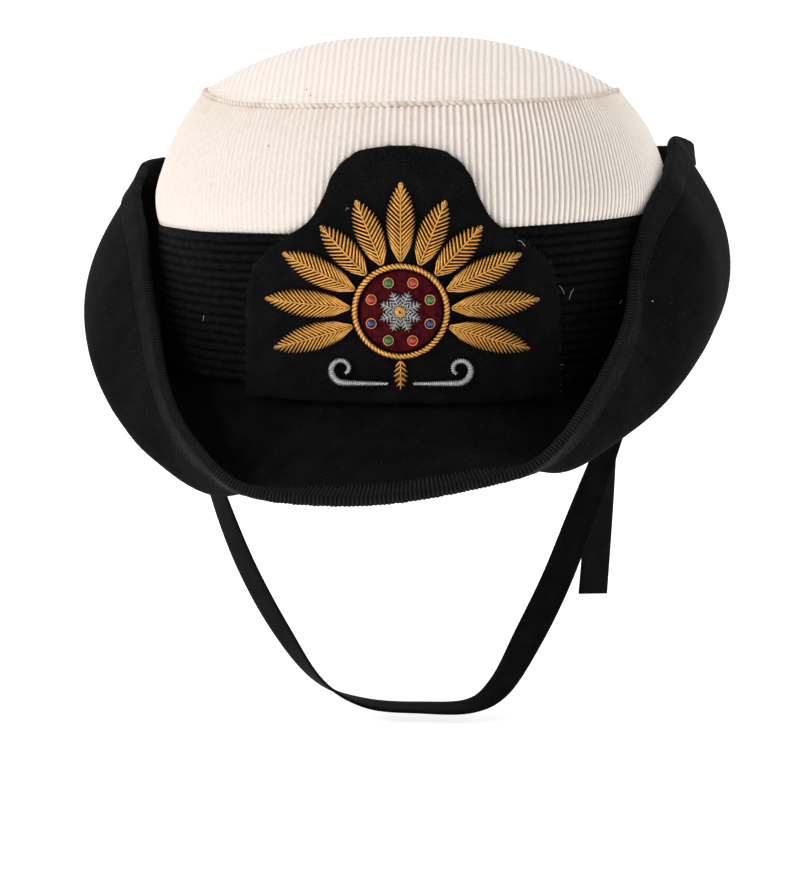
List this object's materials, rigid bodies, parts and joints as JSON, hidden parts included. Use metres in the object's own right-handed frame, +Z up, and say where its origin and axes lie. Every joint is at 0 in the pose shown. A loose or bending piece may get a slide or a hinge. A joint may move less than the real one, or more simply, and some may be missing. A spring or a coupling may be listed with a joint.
{
  "type": "tricorn hat",
  "caption": "Uniform tricorn hat: white ribbed crown, corded black band, felt brim turned up on three sides, embroidered badge and chin strap.",
  "frame": {"origin": "middle of the oval head opening, on the level where the collar meets the brim", "axes": "the hat faces -Y, +X is the wearer's left, +Z is up"},
  "size_m": [0.2302, 0.2701, 0.2315],
  "materials": {
    "black_felt": "matt wool felt",
    "black_ribbon": "ribbed ribbon with a slight sheen",
    "black_braid": "hairy mohair braid in raised cords",
    "badge_cloth": "napped cloth",
    "white_cloth": "ribbed warm white cloth",
    "black_tape": "smooth woven tape",
    "red_velvet": "velvet",
    "gold_bullion": "gilt wire embroidery",
    "silver_bullion": "silver wire embroidery",
    "bead_red": "gloss",
    "bead_green": "gloss",
    "bead_blue": "gloss"
  },
  "bodies": {
    "root": {"brim": "black_felt", "brim_binding": "black_ribbon", "crown_side": "white_cloth", "crown_tip": "white_cloth", "crown_seam": "white_cloth", "hat_band": "black_braid", "badge_backing": "badge_cloth", "badge_velvet": "red_velvet", "badge_rim": "gold_bullion", "badge_rosette": "silver_bullion", "badge_bead_1": "bead_red", "badge_bead_2": "bead_green", "badge_bead_3": "bead_blue", "badge_bead_4": "bead_red", "badge_bead_5": "bead_green", "badge_bead_6": "bead_blue", "badge_bead_7": "bead_red", "badge_bead_8": "bead_green", "badge_petal_01": "gold_bullion", "badge_petal_02": "gold_bullion", "badge_petal_03": "gold_bullion", "badge_petal_04": "gold_bullion", "badge_petal_05": "gold_bullion", "badge_petal_06": "gold_bullion", "badge_petal_07": "gold_bullion", "badge_petal_08": "gold_bullion", "badge_petal_09": "gold_bullion", "badge_petal_10": "gold_bullion", "badge_petal_11": "gold_bullion", "badge_drop": "gold_bullion", "badge_scroll_left": "silver_bullion", "badge_scroll_right": "silver_bullion", "chin_strap": "black_tape", "strap_tail": "black_tape"}
  },
  "joints": []
}
